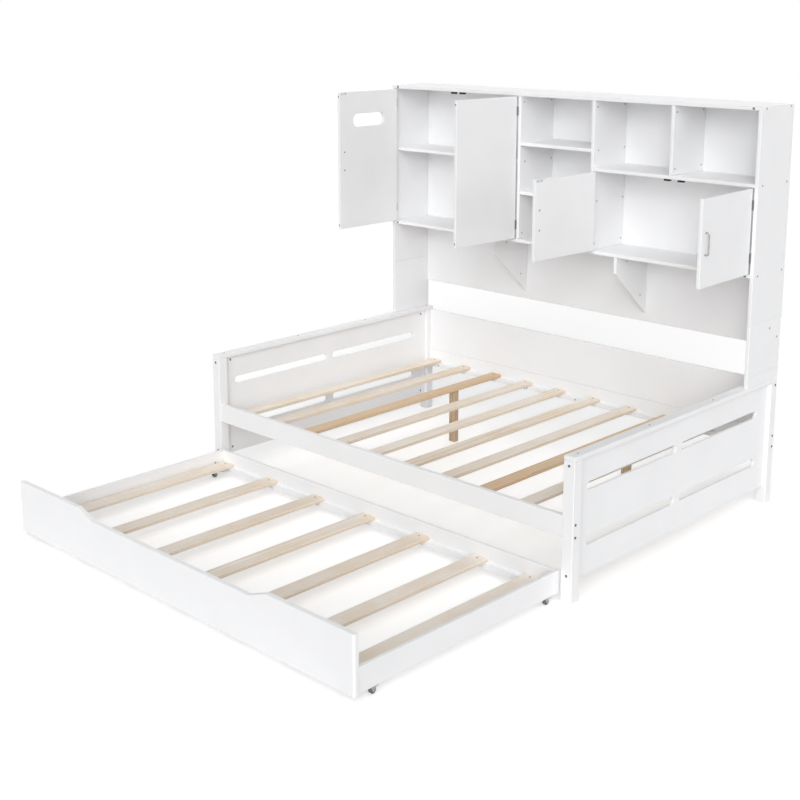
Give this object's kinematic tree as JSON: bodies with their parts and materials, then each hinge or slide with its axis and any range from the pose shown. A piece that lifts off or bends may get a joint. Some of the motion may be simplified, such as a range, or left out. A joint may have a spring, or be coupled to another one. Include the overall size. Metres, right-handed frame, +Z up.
{
  "type": "trundle bed",
  "caption": "Wooden bed with slotted end panels, a slatted base, a wheeled pull-out trundle and a bookcase headboard with hinged doors.",
  "frame": {"origin": "on the floor under the middle of the box round the bed as it stands, with the trundle pulled out and the doors open", "axes": "+X along the bed's length, +Y from the trundle's front to the headboard, +Z up"},
  "size_m": [2.011, 2.416, 1.68],
  "materials": {
    "white_paint": "satin white paint",
    "pine": "bare sanded pine",
    "brown_pine": "bare brown pine",
    "black_plastic": "matt black",
    "black_tyre": "matt black"
  },
  "bodies": {
    "bed": {"post_front_left": "white_paint", "post_rear_left": "white_paint", "end_board_left": "white_paint", "cap_rail_left": "white_paint", "post_front_right": "white_paint", "post_rear_right": "white_paint", "end_board_right": "white_paint", "cap_rail_right": "white_paint", "front_rail": "white_paint", "rear_rail": "white_paint", "back_panel": "white_paint", "bed_slat_01": "pine", "bed_slat_02": "pine", "bed_slat_03": "brown_pine", "bed_slat_04": "pine", "bed_slat_05": "pine", "bed_slat_06": "pine", "bed_slat_07": "pine", "bed_slat_08": "brown_pine", "bed_slat_09": "pine", "bed_slat_10": "pine", "support_leg_left": "brown_pine", "support_leg_right": "brown_pine", "side_upper_left": "white_paint", "side_lower_left": "white_paint", "divider_left": "white_paint", "gusset_left": "white_paint", "catch_left": "black_plastic", "side_upper_right": "white_paint", "side_lower_right": "white_paint", "divider_right": "white_paint", "gusset_right": "white_paint", "catch_right": "black_plastic", "bookcase_top": "white_paint", "bookcase_bottom": "white_paint", "bookcase_back": "white_paint", "shelf_left": "white_paint", "shelf_right": "white_paint", "shelf_middle_1": "white_paint", "shelf_middle_2": "white_paint", "divider_upper_right": "white_paint"},
    "trundle": {"trundle_front": "white_paint", "trundle_back": "white_paint", "trundle_rail_left": "white_paint", "trundle_rail_right": "white_paint", "trundle_slat_01": "pine", "trundle_slat_02": "pine", "trundle_slat_03": "pine", "trundle_slat_04": "pine", "trundle_slat_05": "pine", "trundle_slat_06": "pine", "trundle_slat_07": "pine"},
    "wheel_front_left": {"wheel_front_left": "black_tyre"},
    "wheel_rear_left": {"wheel_rear_left": "black_tyre"},
    "wheel_front_right": {"wheel_front_right": "black_tyre"},
    "wheel_rear_right": {"wheel_rear_right": "black_tyre"},
    "door_1": {"door_1": "white_paint"},
    "door_2": {"door_2": "white_paint"},
    "door_3": {"door_3": "white_paint"},
    "door_4": {"door_4": "white_paint"}
  },
  "joints": [
    {"name": "trundle_slide", "type": "slide", "parent": "bed", "child": "trundle", "axis": [0, 1, 0], "range_m": [0, 1.01]},
    {"name": "wheel_front_left_spin", "type": "hinge", "parent": "trundle", "child": "wheel_front_left", "pos_m": [-0.93855, -1.118, 0.0115], "axis": [1, 0, 0], "continuous": true},
    {"name": "wheel_rear_left_spin", "type": "hinge", "parent": "trundle", "child": "wheel_rear_left", "pos_m": [-0.93855, -0.256, 0.0115], "axis": [1, 0, 0], "continuous": true},
    {"name": "wheel_front_right_spin", "type": "hinge", "parent": "trundle", "child": "wheel_front_right", "pos_m": [0.92745, -1.118, 0.0115], "axis": [1, 0, 0], "continuous": true},
    {"name": "wheel_rear_right_spin", "type": "hinge", "parent": "trundle", "child": "wheel_rear_right", "pos_m": [0.92745, -0.256, 0.0115], "axis": [1, 0, 0], "continuous": true},
    {"name": "door_1_hinge", "type": "hinge", "parent": "bed", "child": "door_1", "pos_m": [-0.98955, 0.9497, 1.34], "axis": [0, 0, 1], "range_deg": [-20, 90]},
    {"name": "door_2_hinge", "type": "hinge", "parent": "bed", "child": "door_2", "pos_m": [-0.21655, 0.9497, 1.34], "axis": [0, 0, 1], "range_deg": [-87, 20]},
    {"name": "door_3_hinge", "type": "hinge", "parent": "bed", "child": "door_3", "pos_m": [0.20545, 0.9497, 1.189], "axis": [0, 0, 1], "range_deg": [-20, 94]},
    {"name": "door_4_hinge", "type": "hinge", "parent": "bed", "child": "door_4", "pos_m": [0.97845, 0.9497, 1.189], "axis": [0, 0, 1], "range_deg": [-92, 20]}
  ]
}
